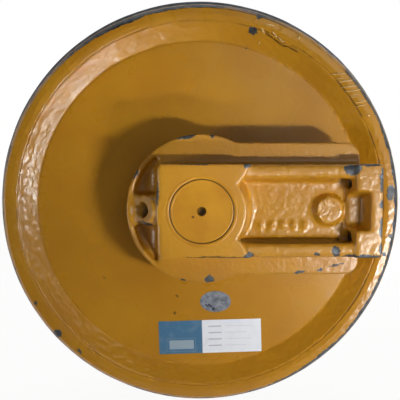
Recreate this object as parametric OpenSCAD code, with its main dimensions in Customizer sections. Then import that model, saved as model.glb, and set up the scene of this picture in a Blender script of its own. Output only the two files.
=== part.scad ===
// Front idler of a tracked excavator: a hollow welded wheel that turns on a fixed axle between two cast
// guide brackets. The brackets slide in the track frame and are bolted to the yoke of the track adjuster.
//
// Frame: millimetres, +Z up, origin at the centre of the wheel, axle along Y, yoke end towards +X.
// The two sides are alike, so each piece is drawn once for the near side (-Y) with its depth counted
// outwards from the middle of the wheel, and mirrored for the far side (+Y).

/* [Wheel] */
// Diameter of the two treads that the track links roll on
tread_d = 500; // [460:1:560]
// Height of the middle guide flange above the treads
guide_h = 14; // [10:1:20]
// Width of the guide flange at its root
guide_w = 84; // [70:1:96]
// Axial run of each sloping side of the guide flange
guide_slope = 12; // [8:1:16]
// Rounding of the guide flange's edges
guide_round = 3; // [1:0.5:5]
// Fillet between the guide flange and the treads
guide_fillet = 5; // [2:0.5:6]
// Width of the wheel across both rim faces
wheel_w = 168; // [156:1:190]
// Radial thickness of the rim under the treads
rim_t = 25; // [20:1:30]
// Chamfer at the outer edge of each tread
tread_chamfer = 6; // [3:0.5:8]
// Rounding of the inner edge of each rim face
rim_round = 6; // [3:0.5:8]
// Depth of the web below the rim face
dish_d = 15; // [10:1:20]
// Radial run of the sloping wall between rim face and web
dish_run = 19; // [14:1:25]
// Fillet between the sloping wall and the web
dish_round = 8; // [4:0.5:10]
// Thickness of each web
web_t = 14; // [10:1:18]
// Size of the welds at the middle seam and around the hub
weld = 7; // [4:0.5:9]

/* [Axle and bushes] */
// Diameter of the axle
axle_d = 75; // [65:0.5:85]
// Depth of the axle's end face below the face of the guide block
axle_inset = 0.5; // [0:0.1:2]
// Chamfer at the axle's ends and around its seat in the bracket
axle_chamfer = 1.5; // [0.5:0.1:3]
// Relief of the axle's middle between the bushes, per side
axle_relief = 1; // [0.5:0.1:2]
// Diameter of the lathe centre in each end of the axle
centre_d = 11; // [8:0.5:16]
// Wall of each bush
bush_wall = 6; // [4:0.5:8]
// Distance between the inner ends of the two bushes
bush_gap = 28; // [20:1:50]
// Distance that the hub stands out past the rim face
hub_out = 6; // [3:1:10]
// Wall of the hub and of the bracket's collar outside the seal seats
hub_wall = 10; // [7:0.5:14]
// Depth of the oil room between the two bushes
oil_room = 3; // [2:0.5:5]
// Diameter of the oil holes through the hub
oil_hole_d = 10; // [6:1:14]
// Number of oil holes through the hub
oil_holes = 4; // [2:1:6]

/* [Face seals] */
// Axial gap between hub and bracket
seal_gap = 2.5; // [2:0.1:4]
// Length of one metal seal ring along the axle
ring_len = 13; // [12:0.5:16]
// Wall of a seal ring at its thin end
ring_wall = 4.5; // [3.5:0.5:6]
// Thickness of the sealing lip of a ring
lip_t = 3.5; // [2.5:0.5:4]
// Height of the sealing lip above the ramp of a ring
lip_h = 4.5; // [3:0.5:6]
// Slope of the ramp that carries the toric ring
ramp = 0.22; // [0.1:0.01:0.3]
// Section diameter of a toric ring
toric_d = 8.5; // [8:0.5:10]
// Section diameter of the O-ring between axle and bracket
oring_d = 4; // [3:0.5:5]
// Distance of that O-ring from the seal seat
oring_set = 5; // [4:0.5:7]

/* [Bracket] */
// Diameter of the round shoulder
shoulder_d = 178; // [166:1:196]
// Thickness of the shoulder plate
shoulder_t = 28; // [25:1:34]
// Length of the seal collar behind the shoulder plate
collar_len = 7.5; // [5:0.5:12]
// Height of the straight part of the shoulder plate
plate_h = 158; // [140:1:164]
// Reach of the shoulder plate from the axle towards the yoke
plate_reach = 188; // [180:1:200]
// Corner radius of the shoulder plate
plate_corner = 16; // [8:1:22]
// Height of the guide block between its two sliding faces
block_h = 108; // [100:1:120]
// Rise of the guide block above the shoulder plate
block_rise = 32; // [29:1:40]
// Reach of the guide block from the axle towards the yoke
block_reach = 208; // [203:1:225]
// Wall of the guide block behind the axle
block_back_wall = 14; // [10:1:20]
// Corner radius of the guide block
block_corner = 5; // [2:0.5:8]

/* [Bracket pockets] */
// Wall between the axle and the arm pocket, at the face of the block
pocket_wall = 14; // [10:0.5:16]
// Length of the arm pocket at its floor, between that wall's foot and the end of the arm
pocket_len = 110; // [100:1:114]
// Slope run of the pocket's end walls
pocket_draft = 8; // [5:0.5:11]
// Height of the pocket floor above the shoulder plate
pocket_floor = 4; // [2:0.5:8]
// Thickness of the rails above and below the pocket, at their fronts
rail_t = 15.5; // [13:0.5:18]
// Slope run of the rails' inner sides
rail_draft = 5; // [2:0.5:7]
// Rounding of the fronts of the rails
rail_round = 6.5; // [3:0.5:7]
// Fillet between the rails and the pocket floor
rail_fillet = 5; // [2:0.5:8]
// Drop of the rails below the face of the block
rail_drop = 3; // [1:0.5:6]
// Slant of the rails' ends, along the arm
rail_slant = 12; // [6:1:16]
// End wall left between the notch and the yoke face, at the face of the block
notch_wall = 13.5; // [10:0.5:18]
// Height of the notch in the end of the arm, at its floor
notch_h = 34; // [28:1:38]
// Depth of the notch below the face of the block
notch_d = 22; // [16:1:26]
// Slope run of the notch's walls
notch_draft = 6; // [3:0.5:8]
// Diameter of the foot of the casting's gate stub in the pocket
stub_d = 38; // [30:1:42]
// Height of the foot of the gate stub
stub_foot = 4; // [2:0.5:6]
// Height of the gate stub
stub_h = 8; // [7:0.5:12]
// Slope run of the gate stub's neck
stub_draft = 3; // [1:0.5:5]
// Depth of the hollows beside the pin boss
hollow_d = 10; // [5:1:14]
// Width of the rim left outside those hollows
hollow_rim = 6; // [4:0.5:10]
// Fillet between those hollows and the guide block
hollow_fillet = 12; // [6:1:16]

/* [Fasteners] */
// Diameter of the yoke bolts
yoke_bolt_d = 16; // [12:1:18]
// Distance between the two yoke bolts of a bracket
yoke_bolt_pitch = 66; // [60:1:70]
// Depth of the yoke bolts below the face of the block
yoke_bolt_set = 21; // [18:0.5:22]
// Length of the yoke bolts' mouths in the pocket's corners
yoke_bolt_mouth = 8; // [4:0.5:12]
// Diameter of the lock pin through bracket and axle
pin_d = 18; // [14:1:20]
// Chamfer at the ends of the lock pin
pin_lead = 1.5; // [0.5:0.1:3]
// Depth of the lock pin below the face of the block
pin_set = 22; // [18:0.5:24]
// Distance that the lock pin reaches past the axle
pin_bite = 5; // [3:0.5:6]
// Distance from the mouth of the pin hole to the pin's end
pin_sink = 16; // [8:1:20]
// Wall of the boss around the pin hole
pin_boss_wall = 9.5; // [7:0.5:11]
// Thread diameter of the oil plug
plug_d = 16; // [12:1:20]
// Distance of the oil plug from the axle
plug_at = 130; // [115:1:150]
// Width of the rim of the oil plug's head around the thread
plug_rim = 4; // [3:0.5:6]
// Height of the oil plug's head
plug_head_h = 7; // [5:0.5:10]
// Width of the hexagon key socket in the oil plug
plug_key = 9.6; // [8:0.1:12]
// Depth of the hexagon key socket
plug_key_d = 5; // [3:0.5:6]
// Thickness of the washer under the oil plug
washer_t = 2; // [1:0.5:3]

/* [Fits] */
// Running clearance between axle and bush, per side
run_fit = 0.06; // [0.03:0.01:0.1]
// Clearance of seated pieces that don't turn against each other, per side
seat_fit = 0.03; // [0.02:0.01:0.05]
// Clearance of a rubber ring in its groove, per side
rubber_fit = 0.08; // [0.05:0.01:0.15]
// End play between bush and bracket, per side
end_play = 0.3; // [0.2:0.05:0.6]
// Oil film between the two lapped seal faces
film = 0.04; // [0.02:0.01:0.1]
// Free space behind a seal ring in its seat
ring_back = 2.2; // [1.5:0.1:3]
// Radial space between a seal ring and what it goes around
ring_space = 0.8; // [0.5:0.1:0.9]

/* [Hidden] */
$fn = 96;
// Steps of a rounded corner in an outline, and the extra length of a cutting tool
arc_steps = 6;
past = 1;

// Radii of the wheel, from the tread inwards
tread_r = tread_d / 2;
guide_r = tread_r + guide_h;
rim_in = tread_r - rim_t;
dish_r = rim_in - dish_run;

// Radii around the axle, from the axle outwards
axle_r = axle_d / 2;
bush_r = axle_r + run_fit + bush_wall;
ring_in = bush_r + ring_space;
ring_root = ring_in + ring_wall;
toric_room = (toric_d + 2 * rubber_fit) / cos(atan(ramp));
hub_r = seat_radius(seal_gap / 2) + hub_wall;

// Depths along the axle, from the middle of the wheel outwards
rim_face = wheel_w / 2;
web_face = rim_face - dish_d;
hub_face = rim_face + hub_out;
seal_face = hub_face + seal_gap / 2;
bracket_face = hub_face + seal_gap;
shoulder_back = bracket_face + collar_len;
shoulder_front = shoulder_back + shoulder_t;
block_front = shoulder_front + block_rise;
axle_end = block_front - axle_inset;
seat_bottom = ring_len + ring_back;
oring_at = seal_face + seat_bottom + oring_set;
floor_at = shoulder_front + pocket_floor;
pin_at = block_front - pin_set;
bolt_at = block_front - yoke_bolt_set;

// Places along the arm of the bracket, from the axle towards the yoke
shoulder_r = shoulder_d / 2;
block_back = axle_r + block_back_wall;
pocket_r = axle_r + pocket_wall;
pocket_floor_r = pocket_r + pocket_draft;
pocket_floor_end = pocket_floor_r + pocket_len;
pocket_end = pocket_floor_end + pocket_draft;
stub_at = pocket_floor_end - stub_d / 2;
notch_end = block_reach - notch_wall;

// Heights across the arm, from its middle upwards
rail_in = block_h / 2 - rail_t;
rail_foot = rail_in - rail_draft;

// The boss of the lock pin and its sloping face
pin_r = pin_d / 2;
pin_boss_r = pin_r + pin_boss_wall;
pin_slope = 0.78;
pin_mouth = block_back + pin_boss_wall / 2 + pin_slope * pin_boss_r;

// The oil plug
plug_r = plug_d / 2;
plug_head_r = plug_r + plug_rim;

// Outer radius of a seal ring's ramp, and of the seat around it, at a distance from the seal face
function ramp_radius(s) = ring_root + ramp * (ring_len - s);
function seat_radius(s) = ramp_radius(s) + toric_room;

// Points of an arc of radius r that rounds the corner at b between a and c
function corner(a, b, c, r) =
    let (u = (a - b) / norm(a - b), v = (c - b) / norm(c - b))
    let (half = acos(u * v) / 2, middle = b + (u + v) / norm(u + v) * r / sin(half))
    let (from = b + u * r / tan(half) - middle, to = b + v * r / tan(half) - middle)
    let (start = atan2(from[1], from[0]), turn = atan2(to[1], to[0]) - start)
    let (sweep = turn > 180 ? turn - 360 : turn < -180 ? turn + 360 : turn)
    [for (i = [0 : arc_steps]) let (t = start + sweep * i / arc_steps) middle + r * [cos(t), sin(t)]];

// An outline whose points are [x, y, radius]: each corner with a radius is rounded
function rounded(p) = [
    for (i = [0 : len(p) - 1])
        let (a = p[(i + len(p) - 1) % len(p)], b = p[i], c = p[(i + 1) % len(p)])
        each b[2] == 0
            ? [[b[0], b[1]]]
            : corner([a[0], a[1]], [b[0], b[1]], [c[0], c[1]], b[2])
];

// Turns a piece drawn with its depth along z to the near side, or to the far side
module near() { rotate([90, 0, 0]) children(); }
module far() { mirror([0, 1, 0]) near() children(); }

// A rectangle from x0 to x1, centred on y, with round corners
module slab(x0, x1, h, r) {
    polygon(rounded([[x0, -h / 2, r], [x1, -h / 2, r], [x1, h / 2, r], [x0, h / 2, r]]));
}

// A prism along y of an outline drawn in x and z
module along_y(width) {
    rotate([90, 0, 0]) translate([0, 0, -width / 2]) linear_extrude(width) children();
}

// A rod along x from x0 to x1 at the height y and the depth z
module along_x(x0, x1, y, z, r) {
    translate([x0, y, z]) rotate([0, 90, 0]) cylinder(r = r, h = x1 - x0);
}

// Half of the wheel: rim, tread, half of the guide flange, sloping wall and web
module wheel_half() {
    color("goldenrod") rotate_extrude() polygon(rounded([
        [rim_in, 0, 0],
        [guide_r - weld, 0, 0],
        [guide_r, weld, 0],
        [guide_r, guide_w / 2 - guide_slope, guide_round],
        [tread_r, guide_w / 2, guide_fillet],
        [tread_r, rim_face - tread_chamfer, 0],
        [tread_r - tread_chamfer, rim_face, 0],
        [rim_in, rim_face, rim_round],
        [dish_r, web_face, dish_round],
        [hub_r + seat_fit, web_face, 0],
        [hub_r + seat_fit, web_face - web_t, 0],
        [rim_in, web_face - web_t, dish_round]
    ]));
}

module wheel_half_near() { near() wheel_half(); }

// The far half also has the tapped hole of the oil plug
module wheel_half_far() {
    far() color("goldenrod") difference() {
        wheel_half();
        translate([0, -plug_at, web_face - web_t - past]) cylinder(r = plug_r + seat_fit, h = web_t + 2 * past);
    }
}

// Weld that fills the groove between the two halves, ground flush with the guide flange
module rim_weld() {
    color("goldenrod") near() rotate_extrude()
        polygon([[guide_r - weld, 0], [guide_r, weld], [guide_r, -weld]]);
}

// Fillet weld between web and hub
module hub_weld() {
    color("goldenrod") rotate_extrude()
        polygon([[hub_r + seat_fit, web_face], [hub_r + weld, web_face], [hub_r + seat_fit, web_face + weld]]);
}

// Cut-out of a seal seat, drawn outwards from the seal face along +z or inwards along -z
module seal_seat(direction) {
    rotate_extrude() polygon([
        [bush_r + seat_fit, seal_face],
        [seat_radius(0), seal_face],
        [seat_radius(seat_bottom), seal_face + direction * seat_bottom],
        [bush_r + seat_fit, seal_face + direction * seat_bottom]
    ]);
}

// Hub tube through both webs, with the seats of the bushes and seals and the oil holes
module hub_sleeve() {
    oil_room_r = bush_r + oil_room;
    color("peru") near() difference() {
        translate([0, 0, -hub_face]) cylinder(r = hub_r, h = 2 * hub_face);
        translate([0, 0, -hub_face - past]) cylinder(r = bush_r + seat_fit, h = 2 * (hub_face + past));
        translate([0, 0, -bush_gap / 2]) cylinder(r = oil_room_r, h = bush_gap);
        for (side = [0, 1]) mirror([0, 0, side]) seal_seat(-1);
        for (i = [0 : oil_holes - 1])
            rotate([0, 0, 360 / oil_holes * (i + 0.5)]) along_x(bush_r, hub_r + past, 0, 0, oil_hole_d / 2);
    }
}

// Bimetal bush, pressed into the hub; its outer end takes the thrust of the bracket
module bush() {
    lead = bush_wall / 4;
    inner = axle_r + run_fit;
    start = bush_gap / 2;
    end = bracket_face - end_play;
    color("darkgoldenrod") rotate_extrude() polygon([
        [inner + lead, start], [bush_r, start], [bush_r, end], [inner + lead, end],
        [inner, end - lead], [inner, start + lead]
    ]);
}

// Metal ring of a face seal, with its lapped face at the seal face
module seal_ring(direction) {
    color("dimgray") translate([0, 0, seal_face]) mirror([0, 0, direction < 0 ? 1 : 0]) rotate_extrude()
        polygon([
            [ring_in, film / 2],
            [ramp_radius(lip_t) + lip_h, film / 2],
            [ramp_radius(lip_t) + lip_h, lip_t],
            [ramp_radius(lip_t), lip_t],
            [ramp_radius(ring_len), ring_len],
            [ring_in, ring_len]
        ]);
}

// Rubber toric ring between the ramp of a seal ring and its seat
module toric_ring(direction) {
    at = lip_t + rubber_fit + toric_d / 2;
    color("black") translate([0, 0, seal_face + direction * at]) rotate_extrude()
        translate([ramp_radius(at) + toric_room / 2, 0]) circle(d = toric_d);
}

// Fixed axle with its O-ring grooves, cross holes for the lock pins and lathe centres
module axle() {
    groove_d = oring_d + 2 * rubber_fit;
    groove_w = oring_d + 4 * rubber_fit;
    relief_half = bush_gap / 2;
    color("lightgray") near() difference() {
        rotate_extrude() polygon(concat(
            [[0, -axle_end], [axle_r - axle_chamfer, -axle_end], [axle_r, -axle_end + axle_chamfer]],
            [[axle_r, -oring_at - groove_w / 2], [axle_r - groove_d, -oring_at - groove_w / 2]],
            [[axle_r - groove_d, -oring_at + groove_w / 2], [axle_r, -oring_at + groove_w / 2]],
            [[axle_r, -relief_half], [axle_r - axle_relief, -relief_half + axle_relief]],
            [[axle_r - axle_relief, relief_half - axle_relief], [axle_r, relief_half]],
            [[axle_r, oring_at - groove_w / 2], [axle_r - groove_d, oring_at - groove_w / 2]],
            [[axle_r - groove_d, oring_at + groove_w / 2], [axle_r, oring_at + groove_w / 2]],
            [[axle_r, axle_end - axle_chamfer], [axle_r - axle_chamfer, axle_end], [0, axle_end]]
        ));
        for (side = [0, 1]) mirror([0, 0, side]) {
            along_x(-axle_r - past, axle_r + past, 0, pin_at, pin_r + seat_fit);
            lathe_centre();
        }
    }
}

// Cut-out of a 60 degree lathe centre with its pilot hole
module lathe_centre() {
    cone_h = centre_d / 2 / tan(30);
    pilot_r = centre_d / 6;
    translate([0, 0, axle_end - cone_h]) cylinder(r1 = 0, r2 = centre_d / 2, h = cone_h);
    translate([0, 0, axle_end - cone_h * 1.2]) cylinder(r = pilot_r, h = cone_h);
}

module axle_oring() {
    color("black") translate([0, 0, oring_at]) rotate_extrude()
        translate([axle_r - rubber_fit - oring_d / 2, 0]) circle(d = oring_d);
}

// Straight pin that keeps the axle from turning and sliding in the bracket
module lock_pin() {
    start = -pin_mouth + pin_sink;
    end = axle_r + pin_bite;
    color("silver") translate([start, 0, pin_at]) rotate([0, 90, 0]) union() {
        cylinder(r1 = pin_r - pin_lead, r2 = pin_r, h = pin_lead);
        translate([0, 0, pin_lead]) cylinder(r = pin_r, h = end - start - 2 * pin_lead);
        translate([0, 0, end - start - pin_lead]) cylinder(r1 = pin_r, r2 = pin_r - pin_lead, h = pin_lead);
    }
}

// Outline of the shoulder: a disc around the axle that runs into a straight plate
module shoulder_outline() {
    circle(r = shoulder_r);
    polygon(rounded([
        [0, -plate_h / 2, 0], [plate_reach, -plate_h / 2, plate_corner],
        [plate_reach, plate_h / 2, plate_corner], [0, plate_h / 2, 0]
    ]));
}

// Boss of the lock pin, with a sloping face that the pin is driven in through
module pin_boss() {
    top = pin_at + pin_boss_r;
    low = shoulder_back;
    run = pin_slope * (top - low);
    tip = block_back + pin_boss_wall / 2;
    intersection() {
        along_x(-shoulder_r, -axle_r - seat_fit, 0, pin_at, pin_boss_r);
        along_y(2 * pin_boss_r) polygon([[0, low], [0, top], [-tip, top], [-tip - run, low]]);
    }
}

// Fillet between the back of the guide block and the floor of the hollows
module back_fillet() {
    r = hollow_fillet;
    translate([-block_back - r, 0, shoulder_front - hollow_d]) along_y(block_h - 2 * block_corner)
        difference() { translate([0, -past]) square([r + past, r + past]); translate([0, r]) circle(r = r); }
}

// Hollows above and below the pin boss, inside a raised rim
module hollows() {
    translate([0, 0, shoulder_front - hollow_d]) linear_extrude(hollow_d + past) difference() {
        intersection() {
            circle(r = shoulder_r - hollow_rim);
            translate([-shoulder_r, -shoulder_r]) square([shoulder_r - block_back, shoulder_d]);
        }
        translate([-shoulder_r, -pin_boss_r]) square([shoulder_r, 2 * pin_boss_r]);
    }
}

// Outline of the pocket seen from the front; it runs past the rails, which are put back afterwards
module pocket_outline() {
    side = block_h / 2 + past;
    polygon([
        [0, -rail_foot], [pocket_r * sin(60), -rail_foot], [pocket_r * sin(60) + rail_slant, -side],
        [pocket_end + rail_slant / 2, -side], [pocket_end, -rail_foot],
        [pocket_end, rail_foot], [pocket_end + rail_slant / 2, side],
        [pocket_r * sin(60) + rail_slant, side], [pocket_r * sin(60), rail_foot], [0, rail_foot]
    ]);
}

// Pocket of the arm: a sloping end wall, and a cone left standing around the axle
module arm_pocket() {
    depth = block_front - floor_at;
    run_out = pocket_draft * past / depth;
    difference() {
        intersection() {
            translate([0, 0, floor_at]) linear_extrude(depth + past) pocket_outline();
            along_y(block_h + 4 * past) polygon([
                [0, floor_at], [pocket_floor_end, floor_at], [pocket_end + run_out, block_front + past],
                [block_reach - past, block_front + past], [block_reach - past, block_front + 2 * past],
                [0, block_front + 2 * past]
            ]);
        }
        translate([0, 0, floor_at - past])
            cylinder(r1 = pocket_floor_r + run_out, r2 = pocket_r - run_out, h = depth + 2 * past);
    }
}

// Rails above and below the pocket, with round fronts, sloping inner sides and filleted feet
module rails() {
    front = block_front - rail_drop;
    for (side = [0, 1]) mirror([0, side, 0]) translate([pocket_r / 2, 0, 0]) rotate([90, 0, 90])
        linear_extrude(pocket_end + rail_slant - pocket_r / 2) polygon(rounded([
            [rail_foot - 2 * rail_fillet, shoulder_front, 0], [rail_foot - 2 * rail_fillet, floor_at, 0],
            [rail_foot, floor_at, rail_fillet], [rail_in, front, rail_round],
            [block_h / 2, front, rail_round], [block_h / 2, shoulder_front, 0]
        ]));
}

// Notch in the end of the arm with sloping walls, open to the pocket
module notch() {
    low = block_front - notch_d;
    high = block_front + past;
    run = notch_draft * (notch_d + past) / notch_d;
    intersection() {
        along_y(block_h) polygon([
            [stub_at, low], [notch_end - notch_draft, low], [notch_end - notch_draft + run, high], [stub_at, high]
        ]);
        rotate([90, 0, 90]) linear_extrude(block_reach) polygon([
            [-notch_h / 2, low], [notch_h / 2, low], [notch_h / 2 + run, high], [-notch_h / 2 - run, high]
        ]);
    }
}

// Foot and neck of the broken gate that the casting was poured through
module gate_stub() {
    translate([stub_at, 0, floor_at - past]) cylinder(d = stub_d, h = stub_foot + past);
    translate([stub_at, 0, floor_at + stub_foot - past])
        cylinder(r1 = stub_d / 2 - past, r2 = stub_d / 2 - stub_draft - past, h = stub_h - stub_foot + past);
}

// Cast bracket: seal collar, shoulder, guide block with its pocketed arm, and pin boss
module bracket() {
    bore_r = axle_r + seat_fit;
    color("goldenrod") difference() {
        union() {
            difference() {
                union() {
                    translate([0, 0, bracket_face]) cylinder(r = hub_r, h = collar_len + past);
                    translate([0, 0, shoulder_back]) linear_extrude(shoulder_t) shoulder_outline();
                    translate([0, 0, shoulder_front - past]) linear_extrude(block_rise + past)
                        slab(-block_back, block_reach, block_h, block_corner);
                }
                hollows();
                arm_pocket();
                notch();
            }
            rails();
            gate_stub();
            back_fillet();
            pin_boss();
        }
        for (side = [-1, 1])
            along_x(pocket_floor_end - yoke_bolt_mouth, block_reach + past, side * yoke_bolt_pitch / 2, bolt_at,
                    yoke_bolt_d / 2);
        translate([0, 0, bracket_face - past]) cylinder(r = bore_r, h = block_front - bracket_face + 2 * past);
        translate([0, 0, block_front - axle_chamfer])
            cylinder(r1 = bore_r, r2 = bore_r + axle_chamfer + past, h = axle_chamfer + past);
        seal_seat(1);
        along_x(-shoulder_r - past, axle_r + pin_bite + seat_fit, 0, pin_at, pin_r + seat_fit);
    }
}

// Screwed oil plug with a hexagon key socket, and the washer under its head
module oil_plug() {
    head_at = web_face + washer_t;
    far() translate([0, -plug_at, 0]) color("gray") difference() {
        union() {
            translate([0, 0, web_face - web_t]) cylinder(r = plug_r, h = web_t + washer_t + past);
            translate([0, 0, head_at]) cylinder(r = plug_head_r, h = plug_head_h);
        }
        translate([0, 0, head_at + plug_head_h - plug_key_d])
            cylinder(d = plug_key / cos(30), h = plug_key_d + past, $fn = 6);
    }
}

module plug_washer() {
    far() translate([0, -plug_at, web_face]) color("chocolate") difference() {
        cylinder(r = plug_head_r, h = washer_t);
        translate([0, 0, -past]) cylinder(r = plug_r + seat_fit, h = washer_t + 2 * past);
    }
}

wheel_half_near();
wheel_half_far();
rim_weld();
hub_sleeve();
near() hub_weld();  // hub_weld_near
far() hub_weld();  // hub_weld_far
near() bush();  // bush_near
far() bush();  // bush_far
near() seal_ring(-1);  // wheel_seal_ring_near
far() seal_ring(-1);  // wheel_seal_ring_far
near() toric_ring(-1);  // wheel_toric_near
far() toric_ring(-1);  // wheel_toric_far
oil_plug();
plug_washer();
axle();
near() bracket();  // bracket_near
far() bracket();  // bracket_far
near() lock_pin();  // lock_pin_near
far() lock_pin();  // lock_pin_far
near() seal_ring(1);  // bracket_seal_ring_near
far() seal_ring(1);  // bracket_seal_ring_far
near() toric_ring(1);  // bracket_toric_near
far() toric_ring(1);  // bracket_toric_far
near() axle_oring();  // axle_oring_near
far() axle_oring();  // axle_oring_far
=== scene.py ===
import math

import bpy
import numpy
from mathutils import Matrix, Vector


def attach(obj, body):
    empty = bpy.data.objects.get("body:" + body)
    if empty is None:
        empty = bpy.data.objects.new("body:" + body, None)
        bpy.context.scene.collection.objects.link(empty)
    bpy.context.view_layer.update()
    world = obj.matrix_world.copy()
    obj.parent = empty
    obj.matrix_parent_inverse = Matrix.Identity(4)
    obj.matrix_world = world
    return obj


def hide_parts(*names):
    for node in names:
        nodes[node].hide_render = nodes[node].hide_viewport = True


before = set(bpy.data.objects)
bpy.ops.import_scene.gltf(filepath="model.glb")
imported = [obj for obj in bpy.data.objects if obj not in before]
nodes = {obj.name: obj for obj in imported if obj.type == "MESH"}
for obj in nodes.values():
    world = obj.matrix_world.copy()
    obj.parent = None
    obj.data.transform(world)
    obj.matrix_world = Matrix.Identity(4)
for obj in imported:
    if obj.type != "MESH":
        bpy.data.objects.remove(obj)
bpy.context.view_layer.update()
MM = 0.001

# Depths along the axle and radii around it, from part.scad, in millimetres
WEB_FACE = 69.0
RIM_FACE = 84.0
BLOCK_FRONT = 160.0
HUB_R = 70.3
TREAD_R = 250.0
FLANGE_R = 264.0
CREASE_R = 230.2
CHAMFER_R = 245.6

# Places in each arm: the broken gate along X, and the depth and height of the yoke bolts
GATE_X = 150.5
BOLT_DEPTH = 139.0
BOLT_Z = 33.0

# Paint, paler ochres painted as highlights on the ripples, grit, dirt and painted shade, the steel in the chips and
# the ink of the label
OCHRES = ("#C48B1D", "#B97F16")
HIGHLIGHT_OCHRES = ("#EBCB8C", "#D9AE5E")
GRIT = "#8A6424"
DIRT_AND_SHADE = "#33230F"
CHIP_STEELS = ("#33363A", "#65696C")
LABEL_BLUE = "#48779A"


# Blender tools used again and again

def pick(obj):
    """Only this object is selected and active."""
    bpy.ops.object.select_all(action="DESELECT")
    obj.select_set(True)
    bpy.context.view_layer.objects.active = obj


def apply_modifier(obj, kind, **settings):
    pick(obj)
    modifier = obj.modifiers.new(kind.lower(), kind)
    for key, value in settings.items():
        setattr(modifier, key, value)
    bpy.ops.object.modifier_apply(modifier=modifier.name)


def waves(obj, name, size_mm, height_mm, group=""):
    """Low waves in a surface, as forging and casting leave them; a vertex group keeps them to one place."""
    clouds = bpy.data.textures.new(name, "CLOUDS")
    clouds.noise_scale = size_mm * MM
    clouds.noise_depth = 2
    apply_modifier(obj, "DISPLACE", texture=clouds, texture_coords="LOCAL", strength=height_mm * MM, mid_level=0.5,
                   vertex_group=group)


def mark(obj, name, inside):
    """A vertex group of the points whose place in millimetres passes the test."""
    group = obj.vertex_groups.new(name=name)
    group.add([v.index for v in obj.data.vertices if inside(*(v.co / MM))], 1, "REPLACE")


def rounded(corners, steps=5):
    """Points of an outline whose corners are (x, y, radius): each corner with a radius becomes an arc."""
    points = []
    for i, (x, y, r) in enumerate(corners):
        if r == 0:
            points.append((x, y))
            continue
        a, c = corners[i - 1], corners[(i + 1) % len(corners)]
        ua, uc = (a[0] - x, a[1] - y), (c[0] - x, c[1] - y)
        la, lc = math.hypot(*ua), math.hypot(*uc)
        ua, uc = (ua[0] / la, ua[1] / la), (uc[0] / lc, uc[1] / lc)
        half = math.acos(max(-1, min(1, ua[0] * uc[0] + ua[1] * uc[1]))) / 2
        reach = min(r / math.tan(half), 0.48 * la, 0.48 * lc)
        for k in range(steps + 1):
            t = k / steps
            p = ((1 - t) ** 2 * ua[0] + t ** 2 * uc[0], (1 - t) ** 2 * ua[1] + t ** 2 * uc[1])
            points.append((x + p[0] * reach, y + p[1] * reach))
    return points


def close_set(points, gap, r_min=0.0, w_min=0.0):
    """The same closed outline, with no two points further apart than the gap beyond a radius and a depth."""
    dense = []
    for a, b in zip(points, points[1:] + points[:1]):
        there = min(a[0], b[0]) >= r_min and min(a[1], b[1]) >= w_min
        parts = max(1, math.ceil(math.hypot(b[0] - a[0], b[1] - a[1]) / gap)) if there else 1
        dense += [(a[0] + (b[0] - a[0]) * k / parts, a[1] + (b[1] - a[1]) * k / parts) for k in range(parts)]
    return dense


def turned(name, profile, steps, axis=(0, 1, 0)):
    """A piece turned on a lathe: a closed profile of (radius, place along the axis) in mm, spun once round."""
    along = axis.index(1)
    out = 0 if along else 2
    bpy.ops.object.select_all(action="DESELECT")
    bpy.ops.mesh.primitive_plane_add(size=MM)
    obj = bpy.context.object
    obj.name = obj.data.name = name
    bpy.ops.object.mode_set(mode="EDIT")
    bpy.ops.mesh.merge(type="CENTER")
    here = (0, 0)
    for i, point in enumerate(profile + profile[:1]):
        step = [0, 0, 0]
        step[out] = (point[0] - here[0]) * MM
        step[along] = (point[1] - here[1]) * MM
        if i == 0:
            bpy.ops.transform.translate(value=step)
        else:
            bpy.ops.mesh.extrude_region_move(TRANSFORM_OT_translate={"value": step})
        here = point
    bpy.ops.mesh.select_all(action="SELECT")
    bpy.ops.mesh.remove_doubles(threshold=0.01 * MM)
    bpy.ops.mesh.spin(steps=steps, angle=2 * math.pi, center=(0, 0, 0), axis=axis)
    bpy.ops.mesh.select_all(action="SELECT")
    bpy.ops.mesh.remove_doubles(threshold=0.01 * MM)
    bpy.ops.mesh.normals_make_consistent(inside=False)
    bpy.ops.object.mode_set(mode="OBJECT")
    return obj


def lump(name, place, half, turn):
    """A low rounded lump: a ball drawn out to its half-lengths in mm, turned about Y and set in its place."""
    bpy.ops.object.select_all(action="DESELECT")
    bpy.ops.mesh.primitive_ico_sphere_add(subdivisions=3, radius=1, location=[p * MM for p in place],
                                          rotation=(0, math.radians(-turn), 0), scale=[h * MM for h in half])
    obj = bpy.context.object
    obj.name = obj.data.name = name
    bpy.ops.object.transform_apply(location=True, rotation=True, scale=True)
    return obj


def joined(name, parts):
    """Several meshes made one object."""
    pick(parts[0])
    for part in parts[1:]:
        part.select_set(True)
    if len(parts) > 1:
        bpy.ops.object.join()
    obj = bpy.context.object
    obj.name = obj.data.name = name
    return obj


def dress(obj, body, slot, material, *replaced):
    """The finished piece gets its material, rides on its body and stands for the CAD nodes it replaces."""
    obj.data.materials.clear()
    obj.data.materials.append(material)
    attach(obj, body)
    if replaced:
        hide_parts(*replaced)


# Materials

def colour(hex_code):
    """An sRGB hex colour as linear RGBA."""
    parts = [int(hex_code[i:i + 2], 16) / 255 for i in (1, 3, 5)]
    return tuple(c / 12.92 if c <= 0.04045 else ((c + 0.055) / 1.055) ** 2.4 for c in parts) + (1,)


def add(tree, kind, settings, inputs):
    """Adds a node, with its settings, and with a value or a link for each of its inputs."""
    node = tree.nodes.new("ShaderNode" + kind)
    for key, value in settings.items():
        setattr(node, key, value)
    for key, value in inputs.items():
        if isinstance(value, bpy.types.NodeSocket):
            tree.links.new(value, node.inputs[key])
        else:
            node.inputs[key].default_value = value
    return node


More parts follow.
